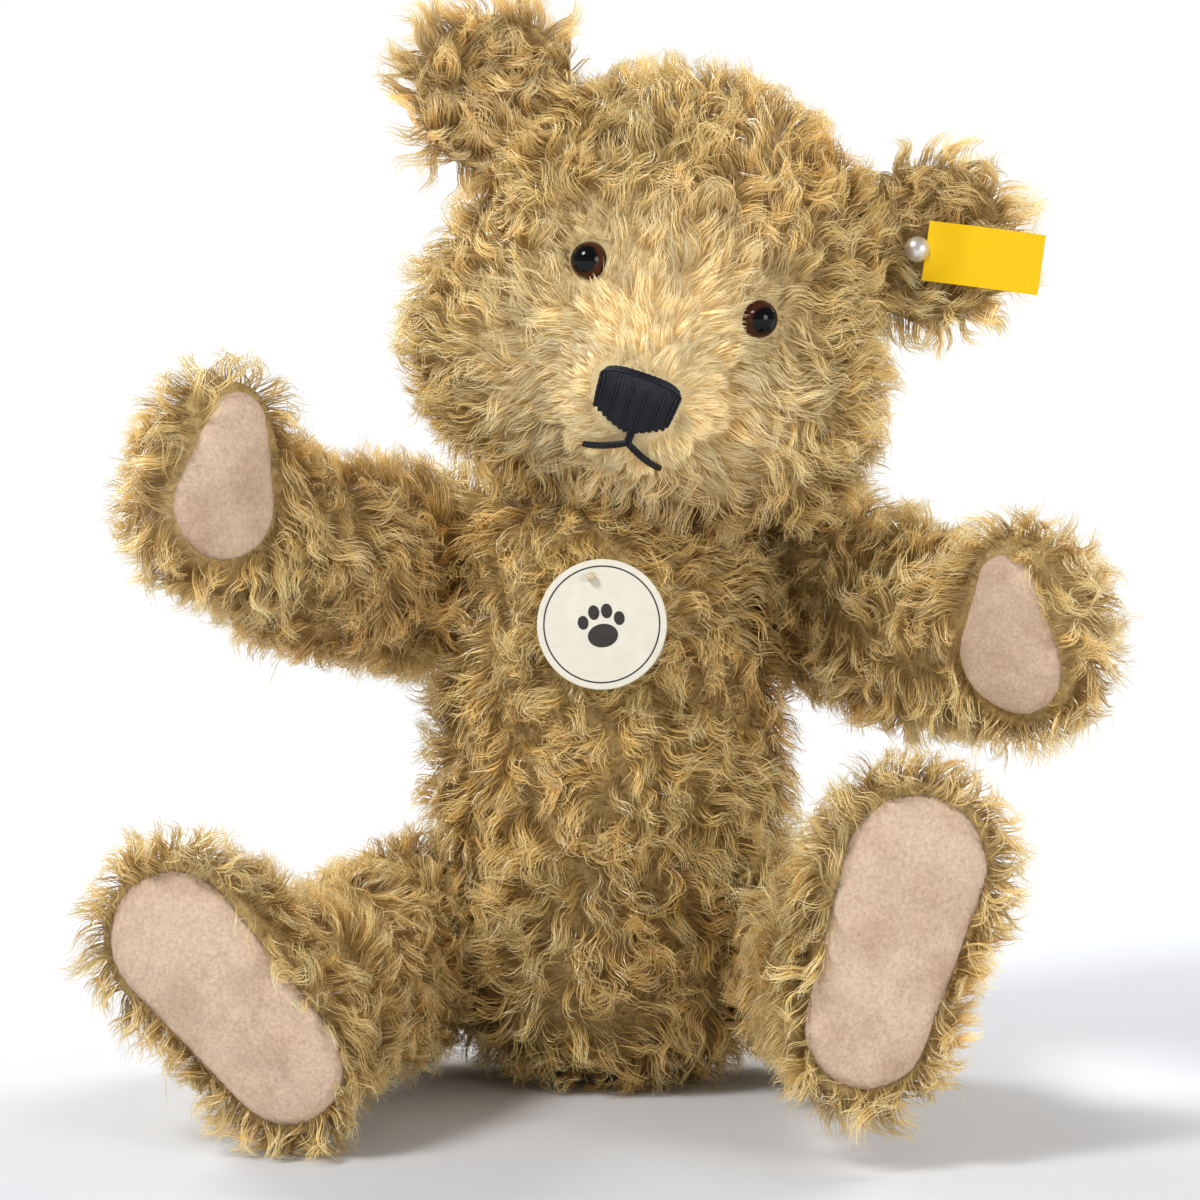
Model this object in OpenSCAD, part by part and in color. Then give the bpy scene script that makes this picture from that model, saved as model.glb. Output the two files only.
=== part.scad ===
// Jointed teddy bear, seated. +Z up, the bear looks along -Y, its left side is +X.
// The origin is the centre of the flat seat that it sits on. All lengths in mm.
// Furred covers are drawn out to the middle of the pile.

/* [Torso] */
// Height of the torso from the seat to the neck
torso_h = 147; // [144:1:150]
// Half width of the torso at its fullest, to the middle of the pile
torso_r = 43; // [42:0.5:44]
// Radius of the chest between the shoulders
chest_r = 38; // [37.5:0.5:39]

/* [Head] */
// Centre of the head
head_at = [15, -9, 187]; // [-20:1:220]
// Radius of the skull, to the middle of the pile
head_r = 49; // [48:0.5:50]
// Lean of the head towards the bear's left
head_lean = 19; // [15:1:22]
// Nod of the head, downwards
head_nod = 6; // [2:1:9]
// Turn of the head towards the bear's left
head_turn = 6.5; // [4:0.5:12]
// Length of the muzzle ahead of the centre of the head
muzzle_l = 66; // [64:1:68]
// Radius of the tip of the muzzle
muzzle_r = 17; // [16:0.5:17.5]
// Radius of an ear
ear_r = 22.5; // [21:0.5:23]
// Radius of a glass eye
eye_r = 4.4; // [4:0.1:4.6]

/* [Arms] */
// Length of an arm from the shoulder bolt to the paw
arm_l = 92; // [88:1:94]
// Radius of the upper arm, to the middle of the pile
arm_r = 23.5; // [23:0.5:24]
// Splay of the left arm, rise of the left arm, roll of its paw
left_arm = [38.5, -12.5, -12]; // [-20:0.5:45]
// Splay of the right arm, rise of the right arm, roll of its paw
right_arm = [24.5, 10, -4]; // [-20:0.5:45]

/* [Legs] */
// Length of a leg from the hip bolt to the sole
leg_l = 118; // [116:1:120]
// Radius of the thigh, to the middle of the pile
leg_r = 23; // [22.5:0.5:23.5]
// Splay of the left leg, rise of the left leg, roll of its foot
left_leg = [13.5, 5.5, 18]; // [-5:0.5:45]
// Splay of the right leg, rise of the right leg, roll of its foot
right_leg = [11, -1, 44]; // [-5:1:45]

/* [Joints] */
// Radius of the joint bolts
bolt_r = 2; // [1.8:0.1:2.2]
// Thickness of the hardboard joint discs
disc_t = 2.5; // [2:0.1:3]
// Radius of the shoulder discs
shoulder_disc_r = 12.5; // [12:0.5:13]
// Radius of the hip discs
hip_disc_r = 14; // [13:0.5:15]
// Radius of the neck discs
neck_disc_r = 15; // [14:0.5:15.5]

/* [Hidden] */

$fn = 48;
left = 1;
right = -1;
pile = 5;            // cloth and half the pile: the thickness of a furred cover
skin_t = 2;          // cover thickness where two covers meet at a joint
joint_gap = 0.25;    // half the gap between two covers at a joint
fit = 0.05;          // running clearance of a bolt
wool_room = 2.5;     // room around a disc in the wool of the torso
washer_t = 0.8;
washer_r = 5.5;
nut_t = 3.5;
nut_r = 3.9;
far = 400;
seat_h = 34;         // centre of the torso's lowest ball above the flat seat
shoulder_at = [30, 9, 120];
hip_at = [29, 0, 31];
neck_at = [3, -3, torso_h - 1];
neck_lean = [10, 10]; // forward lean, lean to the bear's left
arm_off = 17;        // upper arm's centre line, out from the joint's face
paw_out = 8;         // how much further out the paw lies
leg_off = 16;
growler_z = 53;
growler_r = 19;
growler_h = 46;
growler_wall = 1.5;
weight_h = 9;
reed_h = 6;
fur = "#b39b62";
felt = "#d9bda0";
wool = "#c9a96a";
board = "#8a6a45";
steel = "#a9adb0";
thread = "#15161c";

// ---- places -------------------------------------------------------------
// A limb's own frame: +X out from the joint's face, -Y along the limb, +Z up.
module limb(side, at, pose)
    mirror([side < 0 ? 1 : 0, 0, 0]) translate(at) rotate([0, 0, pose[0]]) rotate([-pose[1], 0, 0])
    children();
module neck() translate(neck_at) rotate([neck_lean[0], neck_lean[1], 0]) rotate([0, -90, 0]) children();
// The head's own frame: -Y out through the nose, +Z up through the crown.
module head() translate(head_at) rotate([0, 0, head_turn]) rotate([head_nod, head_lean, 0]) children();
module paw(roll) translate([arm_off + paw_out, 0, 0]) rotate([0, roll, 0]) children();
module foot(roll) translate([leg_off, 0, 0]) rotate([0, roll, 0]) children();
module both() {
    children();
    mirror([1, 0, 0]) children();
}
// Everything beyond a joint's face, on its outer side.
module beyond(x) translate([x, -far / 2, -far / 2]) cube(far);
module along_x(x, r, l, fn = 0) translate([x, 0, 0]) rotate([0, 90, 0]) cylinder(r = r, h = l, $fn = fn);

// ---- joint hardware, along X, the limb on the +X side -------------------
disc_x = joint_gap + skin_t;
module disc_pocket(r) along_x(disc_x, r, disc_t + 6.5);
module body_pocket(r, room = 0) mirror([1, 0, 0]) along_x(disc_x - room, r + room, disc_t + 9.5 + room);
module limb_disc(r) color(board) difference() {
    along_x(disc_x, r, disc_t);
    along_x(0, bolt_r, far / 10);
}
module body_disc(r) color(board) difference() {
    along_x(-disc_x - disc_t, r, disc_t);
    along_x(-far / 20, bolt_r + fit, far / 10);
}
module body_washer() color(steel) difference() {
    along_x(-disc_x - disc_t - washer_t, washer_r, washer_t);
    along_x(-far / 20, bolt_r + fit, far / 10);
}
module bolt() color(steel) {
    body_end = disc_x + disc_t + washer_t + nut_t + 1.5;
    along_x(-body_end, bolt_r, body_end + disc_x + disc_t);
    along_x(disc_x + disc_t, 2 * bolt_r, 2);
}
module nut() color(steel) difference() {
    along_x(-disc_x - disc_t - washer_t - fit - nut_t, nut_r, nut_t, 6);
    along_x(-far / 20, bolt_r, far / 10);
}

// ---- torso --------------------------------------------------------------
// Three balls in one skin, fuller low down, the lowest one cut off by the flat seat.
module torso_egg(inset) hull() {
    translate([0, 0, seat_h]) sphere(r = torso_r - 3 - inset, $fn = 36);
    translate([0, 0, torso_h / 2]) sphere(r = torso_r - inset, $fn = 36);
    translate([0, 0, torso_h + 4 - chest_r]) sphere(r = chest_r - inset, $fn = 36);
}
// Room for the thigh and for the leg ahead of it, beside the seat: round behind the bolt, then
// rising forwards so that the leg can lift.
room_r = leg_r + 2;
room_rise = 14;
module thigh_room(x) translate([x, 0, 0]) rotate([90, 0, 90]) linear_extrude(far) polygon(concat(
    [for (a = [0:8:90 + room_rise]) room_r * [cos(a), sin(a)]],
    [[-far, room_r / cos(room_rise) + far * tan(room_rise)], [-far, -far], [room_r, -far]]));
module torso_trim(inset) {
    limb(left, shoulder_at, left_arm) beyond(-joint_gap - inset);
    limb(right, shoulder_at, right_arm) beyond(-joint_gap - inset);
    limb(left, hip_at, left_leg) thigh_room(-joint_gap - inset);
    limb(right, hip_at, right_leg) thigh_room(-joint_gap - inset);
    neck() beyond(-joint_gap - inset);
    translate([-far / 2, -far / 2, inset - far]) cube(far);
}
module torso_joints() {
    limb(left, shoulder_at, left_arm) children(0);
    limb(right, shoulder_at, right_arm) children(0);
    limb(left, hip_at, left_leg) children(1);
    limb(right, hip_at, right_leg) children(1);
    neck() children(2);
}
module torso_pockets(room = 0) torso_joints() {
    body_pocket(shoulder_disc_r, room);
    body_pocket(hip_disc_r, room);
    body_pocket(neck_disc_r, room);
}
module torso_core() difference() {
    torso_egg(pile);
    torso_trim(skin_t);
}
module torso_cover() color(fur) difference() {
    torso_egg(0);
    torso_trim(0);
    torso_core();
    torso_pockets();
    torso_joints() {
        along_x(-far / 20, bolt_r + 1, far / 10);
        along_x(-far / 20, bolt_r + 1, far / 10);
        along_x(-far / 20, bolt_r + 1, far / 10);
    }
}
module torso_stuffing() color(wool) difference() {
    torso_core();
    torso_pockets(wool_room);
    translate([0, 0, growler_z]) cylinder(r = growler_r, h = growler_h);
    // loose channel to the closing seam in the back, where the sound comes out
    translate([0, 0, growler_z + growler_h / 2]) rotate([-90, 0, 0]) cylinder(r = 8, h = far);
}
module torso_neck_disc() neck() body_disc(neck_disc_r);
module torso_shoulder_discs() {
    limb(left, shoulder_at, left_arm) body_disc(shoulder_disc_r);
    limb(right, shoulder_at, right_arm) body_disc(shoulder_disc_r);
}
module torso_hip_discs() {
    limb(left, hip_at, left_leg) body_disc(hip_disc_r);
    limb(right, hip_at, right_leg) body_disc(hip_disc_r);
}
module torso_washers() torso_joints() {
    body_washer();
    body_washer();
    body_washer();
}

// ---- growler: the tilting voice box inside the torso --------------------
growler_top = growler_z + growler_h;
bellows_z = growler_z + growler_wall + 0.3 + weight_h;
module growler_case() color("#d8cfae") difference() {
    translate([0, 0, growler_z]) cylinder(r = growler_r, h = growler_h - 2);
    translate([0, 0, growler_z + growler_wall]) cylinder(r = growler_r - growler_wall, h = growler_h);
}
module growler_lid() color("#cfc29a") translate([0, 0, growler_top - 2]) difference() {
    cylinder(r = growler_r, h = 2);
    translate([0, 0, -1]) cylinder(r = 3, h = 4);
    for (a = [0:60:300]) rotate(a) translate([11, 0, -1]) cylinder(r = 1.2, h = 4);
}
module growler_reed() color("#c8a44a") translate([0, 0, growler_top - reed_h]) difference() {
    union() {
        cylinder(r = 3, h = reed_h);
        cylinder(r = growler_r - growler_wall - 0.5, h = 1.5);
    }
    translate([0, 0, -1]) cylinder(r = 1.6, h = reed_h + 2);
}
module growler_bellows() color("#8c5a3c") translate([0, 0, bellows_z]) difference() {
    cylinder(r = 14, h = growler_top - reed_h - bellows_z);
    translate([0, 0, 1]) cylinder(r = 12.5, h = far);
}
module growler_weight() color("#70757a")
    translate([0, 0, bellows_z - weight_h]) cylinder(r = 14.5, h = weight_h);

// ---- round card tag on the chest ----------------------------------------
tag_r = 15;
tag_t = 0.8;
tag_at = [3.4, -45.5, 112.3];
tag_hole = [-1, 0, 11];
module chest() translate(tag_at) rotate([-9, -8, 0]) children();
module chest_tag() color("#efe6c8") chest() rotate([90, 0, 0]) difference() {
    cylinder(r = tag_r, h = tag_t);
    translate([tag_hole[0], tag_hole[2], -1]) cylinder(r = 0.8, h = 3);
}
module chest_tag_thread() color("#cdbb8a") difference() {
    chest() translate(tag_hole) {
        rotate([90, 0, 0]) translate([0, 0, -12]) cylinder(r = 0.5, h = 14);
        translate([0, -1.9, 0]) sphere(r = 1.1, $fn = 32);
    }
    torso_egg(0);
}

// ---- head ---------------------------------------------------------------
muzzle_z = -18;
muzzle_y = muzzle_r - muzzle_l;
module head_form(inset) {
    sphere(r = head_r - inset, $fn = 96);
    // muzzle: a blunt cone that ends in a ball
    hull() {
        translate([0, -20, muzzle_z + 4]) sphere(r = 28 - inset, $fn = 28);
        translate([0, muzzle_y, muzzle_z]) sphere(r = muzzle_r - inset, $fn = 28);
    }
}
module head_outer() difference() {
    head() head_form(0);
    neck() mirror([1, 0, 0]) beyond(-joint_gap);
}
module head_core() difference() {
    head() head_form(pile);
    neck() mirror([1, 0, 0]) beyond(-joint_gap - skin_t);
}
// An eye's own frame: -Y out of the head.
module eyes(side) head() mirror([side < 0 ? 1 : 0, 0, 0]) rotate([-8, 0, 27]) translate([0, 4 - head_r, 0])
    children();
module eye_socket() rotate([90, 0, 0]) {
    translate([0, 0, -2]) cylinder(r = eye_r + 0.1, h = far);
    translate([0, 0, -9]) cylinder(r = 2.9, h = 9);
}
// Ears: shallow cups set across the corners of the crown.
module ears(side) head() mirror([side < 0 ? 1 : 0, 0, 0]) rotate([0, ear_angle, 0])
    translate([0, 1, head_r + 13]) rotate([0, 0, -8]) children();
ear_angle = 60;
module ear_cup() intersection() {
    translate([0, -23, 0]) difference() {
        sphere(r = 31, $fn = 96);
        sphere(r = 25.5, $fn = 96);
    }
    translate([0, -12, 0]) rotate([-90, 0, 0]) cylinder(r = ear_r, h = 30);
}
module ear(side) color(fur) difference() {
    ears(side) ear_cup();
    head() sphere(r = head_r + 0.05, $fn = 96);
}
nose_w = 20;
nose_h = 14;
module nose_outline() offset(r = 2.5) polygon([
    [-nose_w / 2 + 2.5, nose_h / 2 - 2.5], [nose_w / 2 - 2.5, nose_h / 2 - 2.5], [4, -nose_h / 2 + 2.5],
    [-4, -nose_h / 2 + 2.5]]);
module nose_place() head() translate([0, -muzzle_l - 0.6, muzzle_z + 4]) rotate([-16, 0, 0]) children();
module nose_block() intersection() {
    nose_place() rotate([-90, 0, 0]) mirror([0, 1, 0]) linear_extrude(6.5) nose_outline();
    head() translate([0, muzzle_y, muzzle_z]) sphere(r = muzzle_r + 0.8, $fn = 96);
}
// The stem below the nose and the two strokes of the mouth.
module mouth_block() head() intersection() {
    mouth_strokes();
    translate([0, muzzle_y, muzzle_z]) sphere(r = muzzle_r + 0.6, $fn = 96);
}
module mouth_strokes() translate([0, -muzzle_l - 1, muzzle_z - 6]) {
    translate([-0.8, 0, -4]) cube([1.6, 10, 6]);
    both() translate([0, 0, -3.6]) rotate([0, 22, 0]) translate([-0.3, 0, -0.8]) cube([10, 14, 1.6]);
}
module head_cover() color(fur) difference() {
    head_outer();
    head_core();
    neck() disc_pocket(neck_disc_r);
    neck() along_x(-far / 20, bolt_r + 1, far / 10);
    eyes(left) eye_socket();
    eyes(right) eye_socket();
    nose_block();
    mouth_block();
}
module head_stuffing() color(wool) difference() {
    head_core();
    neck() disc_pocket(neck_disc_r);
    eyes(left) eye_socket();
    eyes(right) eye_socket();
    nose_block();
    mouth_block();
}
module left_ear() difference() {
    ear(left);
    rivet() rivet_shank();
}
module right_ear() ear(right);
// Plain rivet and woven label in the left ear. The label bends forward over the ear's rim.
rivet_at = [0.8, -3.4, -2.9];
rivet_grip = 12;
module rivet() ears(left) translate(rivet_at) rotate([90, 0, 0]) children();
module rivet_shank() translate([0, 0, -far / 20]) cylinder(r = 1, h = far / 10);
module ear_rivet() color("#c9c9c4") rivet() {
    translate([0, 0, 0.9]) intersection() {
        translate([0, 0, -1.6]) sphere(r = 3.4, $fn = 64);
        cylinder(r = 3, h = 5);
    }
    translate([0, 0, -rivet_grip - 0.4]) cylinder(r = 1, h = rivet_grip + 1.4);
}
module ear_rivet_back() color("#c9c9c4") rivet() translate([0, 0, -rivet_grip - 0.4]) difference() {
    cylinder(r = 3, h = 0.8);
    rivet_shank();
}
module ear_label() color("#f2b705") rivet() difference() {
    rotate([0, 0, 71.5]) translate([0, 7, 0]) rotate([90, 0, 0]) linear_extrude(14) polygon([
        [-2.2, 0.2], [3.6, 0.2], [12, 6.4], [28.6, 8.6], [28.6, 9.2], [11.8, 7], [3.4, 0.8], [-2.2, 0.8]]);
    rivet_shank();
}
module eye_glass(side) color("#4a2313") eyes(side) rotate([90, 0, 0]) difference() {
    intersection() {
        sphere(r = eye_r, $fn = 96);
        translate([0, 0, -1.5]) cylinder(r = eye_r + 1, h = 2 * eye_r);
    }
    eye_pupil_form();
}
module eye_pupil_form() translate([0, 0, -1.5]) cylinder(r = 2.7, h = 2.7);
module eye_pupil(side) color("#050505") eyes(side) rotate([90, 0, 0]) eye_pupil_form();
module eye_wire(side) color(steel) eyes(side) translate([0, 4.2, 0]) rotate([0, 90, 0])
    rotate_extrude() translate([2, 0]) circle(r = 0.5, $fn = 24);
module left_eye_glass() eye_glass(left);
module right_eye_glass() eye_glass(right);
module left_eye_pupil() eye_pupil(left);
module right_eye_pupil() eye_pupil(right);
module left_eye_wire() eye_wire(left);
module right_eye_wire() eye_wire(right);
module nose_stitching() color(thread) difference() {
    nose_block();
    head() translate([0, muzzle_y, muzzle_z]) sphere(r = muzzle_r - 2.5, $fn = 64);
}
module mouth_stitching() color(thread) difference() {
    mouth_block();
    nose_block();
    head() translate([0, muzzle_y, muzzle_z]) sphere(r = muzzle_r - 2.5, $fn = 64);
}
module head_neck_disc() neck() limb_disc(neck_disc_r);
module neck_bolt() neck() bolt();
module neck_nut() neck() nut();

// ---- arms ----------------------------------------------------------------
// The upper arm, the forearm and the upturned paw, each a ball of the chain.
function arm_ball(i) = [[-paw_out, 0, 0, arm_r], [-2, -0.45 * arm_l, -2, 20.5], [0, 10 - arm_l, 6, 18.5],
                        [0, 5 - arm_l, 20, 15.5]][i];
module ball(b, inset, fn) translate([b[0], b[1], b[2]]) sphere(r = b[3] - inset, $fn = fn);
module arm_form(roll, inset, fn) paw(roll) for (i = [0:2]) hull() {
    ball(arm_ball(i), inset, fn);
    ball(arm_ball(i + 1), inset, fn);
}
paw_pad_d = 10;
paw_pad_t = 1.5;
// The paw pad's own frame: +Z out of the pad, +Y towards the tip of the paw.
module paw_face(roll) paw(roll) translate([0, 8 - arm_l, 12]) rotate([0, 0, 25]) translate([-paw_pad_d, 0, 0])
    rotate([90, 0, -90]) children();
module paw_outline() hull() {
    translate([0, -6]) circle(r = 13);
    translate([0, 12]) circle(r = 7.5);
}
module paw_pad_form() translate([0, 0, -paw_pad_t - 1]) linear_extrude(paw_pad_t) paw_outline();
module arm_core(roll) difference() {
    arm_form(roll, pile, 14);
    mirror([1, 0, 0]) beyond(-disc_x);
    paw_face(roll) translate([-far / 2, -far / 2, -paw_pad_t - 1]) cube(far);
}
module arm_cover(side, pose) color(fur) limb(side, shoulder_at, pose) difference() {
    arm_form(pose[2], 0, 18);
    mirror([1, 0, 0]) beyond(-joint_gap);
    paw_face(pose[2]) translate([-far / 2, -far / 2, 0]) cube(far);
    arm_core(pose[2]);
    disc_pocket(shoulder_disc_r);
    along_x(-far / 20, bolt_r + 1, far / 10);
    paw_face(pose[2]) translate([0, 0, -paw_pad_t - 1]) linear_extrude(far / 10) paw_outline();
}
module arm_stuffing(side, pose) color(wool) limb(side, shoulder_at, pose) difference() {
    arm_core(pose[2]);
    disc_pocket(shoulder_disc_r);
}
module left_arm_cover() arm_cover(left, left_arm);
module right_arm_cover() arm_cover(right, right_arm);
module left_arm_stuffing() arm_stuffing(left, left_arm);
module right_arm_stuffing() arm_stuffing(right, right_arm);
module left_paw_pad() color(felt) limb(left, shoulder_at, left_arm) paw_face(left_arm[2]) paw_pad_form();
module right_paw_pad() color(felt) limb(right, shoulder_at, right_arm) paw_face(right_arm[2]) paw_pad_form();
module left_arm_disc() limb(left, shoulder_at, left_arm) limb_disc(shoulder_disc_r);
module right_arm_disc() limb(right, shoulder_at, right_arm) limb_disc(shoulder_disc_r);
module left_arm_bolt() limb(left, shoulder_at, left_arm) bolt();
module right_arm_bolt() limb(right, shoulder_at, right_arm) bolt();
module left_arm_nut() limb(left, shoulder_at, left_arm) nut();
module right_arm_nut() limb(right, shoulder_at, right_arm) nut();

// ---- legs ----------------------------------------------------------------
// The thigh, the ankle, the heel and the toe.
function leg_ball(i) = [[0, 0, 0, leg_r], [0, -0.72 * leg_l, -2, 19], [0, 8 - leg_l, -13, 18.5],
                        [0, 8 - leg_l, 28, 19]][i];
module leg_form(roll, inset, fn) foot(roll) {
    hull() {
        ball(leg_ball(0), inset, fn);
        ball(leg_ball(1), inset, fn);
    }
    hull() {
        ball(leg_ball(1), inset, fn);
        ball(leg_ball(2), inset, fn);
        ball(leg_ball(3), inset, fn);
    }
}
sole_recess = 1;
foot_pad_t = 2;
insole_t = 1.5;
// The sole's own frame: +Z out of the sole, +Y towards the toes.
module sole(roll) foot(roll) translate([0, -leg_l, 0]) rotate([90, 0, 0]) children();
module foot_outline() hull() {
    translate([0, -11]) circle(r = 13.5);
    translate([0, 25]) circle(r = 15.5);
}
module leg_core(roll) difference() {
    leg_form(roll, pile, 14);
    mirror([1, 0, 0]) beyond(-disc_x);
    sole(roll) translate([-far / 2, -far / 2, -sole_recess - foot_pad_t - insole_t]) cube(far);
}
module leg_cover(side, pose) color(fur) limb(side, hip_at, pose) difference() {
    leg_form(pose[2], 0, 18);
    mirror([1, 0, 0]) beyond(-joint_gap);
    sole(pose[2]) translate([-far / 2, -far / 2, 0]) cube(far);
    leg_core(pose[2]);
    disc_pocket(hip_disc_r);
    along_x(-far / 20, bolt_r + 1, far / 10);
    sole(pose[2]) translate([0, 0, -sole_recess - foot_pad_t - insole_t]) linear_extrude(far / 10)
        foot_outline();
}
module leg_stuffing(side, pose) color(wool) limb(side, hip_at, pose) difference() {
    leg_core(pose[2]);
    disc_pocket(hip_disc_r);
}
module foot_pad(side, pose) color(felt) limb(side, hip_at, pose) sole(pose[2])
    translate([0, 0, -sole_recess - foot_pad_t]) linear_extrude(foot_pad_t) foot_outline();
module foot_insole(side, pose) color(board) limb(side, hip_at, pose) sole(pose[2])
    translate([0, 0, -sole_recess - foot_pad_t - insole_t]) linear_extrude(insole_t) foot_outline();
module left_leg_cover() leg_cover(left, left_leg);
module right_leg_cover() leg_cover(right, right_leg);
module left_leg_stuffing() leg_stuffing(left, left_leg);
module right_leg_stuffing() leg_stuffing(right, right_leg);
module left_foot_pad() foot_pad(left, left_leg);
module right_foot_pad() foot_pad(right, right_leg);
module left_foot_insole() foot_insole(left, left_leg);
module right_foot_insole() foot_insole(right, right_leg);
module left_leg_disc() limb(left, hip_at, left_leg) limb_disc(hip_disc_r);
module right_leg_disc() limb(right, hip_at, right_leg) limb_disc(hip_disc_r);
module left_leg_bolt() limb(left, hip_at, left_leg) bolt();
module right_leg_bolt() limb(right, hip_at, right_leg) bolt();
module left_leg_nut() limb(left, hip_at, left_leg) nut();
module right_leg_nut() limb(right, hip_at, right_leg) nut();

// ---- parts ---------------------------------------------------------------
torso_cover();
torso_stuffing();
torso_neck_disc();
torso_shoulder_discs();
torso_hip_discs();
torso_washers();
growler_case();
growler_lid();
growler_reed();
growler_bellows();
growler_weight();
chest_tag();
chest_tag_thread();
head_cover();
head_stuffing();
left_ear();
right_ear();
left_eye_glass();
right_eye_glass();
left_eye_pupil();
right_eye_pupil();
left_eye_wire();
right_eye_wire();
nose_stitching();
mouth_stitching();
head_neck_disc();
neck_bolt();
neck_nut();
ear_rivet();
ear_rivet_back();
ear_label();
left_arm_cover();
left_arm_stuffing();
left_paw_pad();
left_arm_disc();
left_arm_bolt();
left_arm_nut();
right_arm_cover();
right_arm_stuffing();
right_paw_pad();
right_arm_disc();
right_arm_bolt();
right_arm_nut();
left_leg_cover();
left_leg_stuffing();
left_foot_pad();
left_foot_insole();
left_leg_disc();
left_leg_bolt();
left_leg_nut();
right_leg_cover();
right_leg_stuffing();
right_foot_pad();
right_foot_insole();
right_leg_disc();
right_leg_bolt();
right_leg_nut();
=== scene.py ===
"""Looks of the seated jointed teddy bear: stuffed skins, wavy mohair, felt pads, glass eyes and thread."""

import itertools
import math

import bpy
import numpy as np
from mathutils import Matrix, Vector
from mathutils.kdtree import KDTree


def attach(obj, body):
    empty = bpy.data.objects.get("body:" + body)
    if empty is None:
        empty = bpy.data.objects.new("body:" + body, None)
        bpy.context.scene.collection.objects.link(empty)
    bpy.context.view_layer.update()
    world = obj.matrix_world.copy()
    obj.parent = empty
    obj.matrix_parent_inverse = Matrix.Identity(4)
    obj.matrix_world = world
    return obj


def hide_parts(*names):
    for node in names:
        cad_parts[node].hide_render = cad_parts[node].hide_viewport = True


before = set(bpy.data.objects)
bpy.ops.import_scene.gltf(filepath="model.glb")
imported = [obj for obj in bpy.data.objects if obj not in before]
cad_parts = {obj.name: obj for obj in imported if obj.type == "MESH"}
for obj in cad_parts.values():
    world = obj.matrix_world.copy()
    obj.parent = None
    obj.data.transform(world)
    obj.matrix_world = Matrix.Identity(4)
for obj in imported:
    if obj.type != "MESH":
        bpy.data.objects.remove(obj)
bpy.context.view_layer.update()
scene = bpy.context.scene
MM = 0.001
FULL_TURN = 2 * math.pi

# ---- sizes, in millimetres, as in the CAD source ---------------------------
PILE = 2.4
HEAD_R, MUZZLE_L, MUZZLE_R, MUZZLE_Z = 49.0, 66.0, 17.0, -18.0
EAR_R, EYE_R = 22.5, 4.4
ARM_L, LEG_L = 92.0, 118.0
LEFT_ARM, RIGHT_ARM = (38.5, -12.5, -12), (24.5, 10, -4)
LEFT_LEG, RIGHT_LEG = (13.5, 5.5, 18), (11, -1, 44)
SHOULDER_AT, HIP_AT, NECK_AT = (30, 9, 120), (29, 0, 31), (3, -3, 146)
TORSO_BALLS = [(0, 0, 34, 40), (0, 0, 73.5, 43), (0, 0, 113, 38)]
SIDES = ("left", "right")
SEGMENTS = 8
DENSITY = 0.98
HAIR_WIDTH = 0.24
STRANDS_PER_PIECE = 12000


# ---- places ----------------------------------------------------------------
def place(move=(0, 0, 0), turn=(0, 0, 0)):
    """A frame that turns about X, then Y, then Z, and then moves."""
    (ca, cb, cc), (sa, sb, sc) = np.cos(np.radians(turn)), np.sin(np.radians(turn))
    rx = np.array([[1, 0, 0], [0, ca, -sa], [0, sa, ca]])
    ry = np.array([[cb, 0, sb], [0, 1, 0], [-sb, 0, cb]])
    rz = np.array([[cc, -sc, 0], [sc, cc, 0], [0, 0, 1]])
    m = np.eye(4)
    m[:3, :3] = rz @ ry @ rx
    m[:3, 3] = move
    return m


MIRROR = np.diag([-1.0, 1, 1, 1])


def side_of(side):
    return MIRROR if side == "right" else np.eye(4)


def out(m, p):
    """Points given in frame m, in the bear's frame."""
    return np.asarray(p, float).reshape(-1, 3) @ m[:3, :3].T + m[:3, 3]


def into(m, p):
    """Points given in the bear's frame, in frame m."""
    return (p - m[:3, 3]) @ m[:3, :3]


def limb(side, at, pose):
    return side_of(side) @ place(at) @ place(turn=(0, 0, pose[0])) @ place(turn=(-pose[1], 0, 0))


HEAD = place((15, -9, 187)) @ place(turn=(0, 0, 6.5)) @ place(turn=(6, 19, 0))
NECK = place(NECK_AT) @ place(turn=(10, 10, 0)) @ place(turn=(0, -90, 0))
ARMS = {"left": limb("left", SHOULDER_AT, LEFT_ARM), "right": limb("right", SHOULDER_AT, RIGHT_ARM)}
LEGS = {"left": limb("left", HIP_AT, LEFT_LEG), "right": limb("right", HIP_AT, RIGHT_LEG)}
ARM_ROLLS = {"left": LEFT_ARM[2], "right": RIGHT_ARM[2]}
LEG_ROLLS = {"left": LEFT_LEG[2], "right": RIGHT_LEG[2]}
PAWS = {s: ARMS[s] @ place((25, 0, 0)) @ place(turn=(0, ARM_ROLLS[s], 0)) for s in SIDES}
FEET = {s: LEGS[s] @ place((16, 0, 0)) @ place(turn=(0, LEG_ROLLS[s], 0)) for s in SIDES}
PAW_FACES = {
    s: PAWS[s] @ place((0, 8 - ARM_L, 12)) @ place(turn=(0, 0, 25)) @ place((-10, 0, 0)) @ place(turn=(90, 0, -90))
    for s in SIDES
}
SOLES = {s: FEET[s] @ place((0, -LEG_L, 0)) @ place(turn=(90, 0, 0)) for s in SIDES}
EARS = {
    s: HEAD @ side_of(s) @ place(turn=(0, 60, 0)) @ place((0, 1, HEAD_R + 13)) @ place(turn=(0, 0, -8))
    for s in SIDES
}
EYES = {s: HEAD @ side_of(s) @ place(turn=(-8, 0, 27)) @ place((0, 4 - HEAD_R, 0)) for s in SIDES}
CHEST = place((3.4, -45.5, 112.3)) @ place(turn=(-9, -8, 0))
RIVET = EARS["left"] @ place((0.8, -3.4, -2.9)) @ place(turn=(90, 0, 0))
LABEL = RIVET @ place(turn=(0, 0, 71.5))
NOSE = HEAD @ place((0, -MUZZLE_L - 0.6, MUZZLE_Z + 4)) @ place(turn=(-16, 0, 0))
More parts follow.
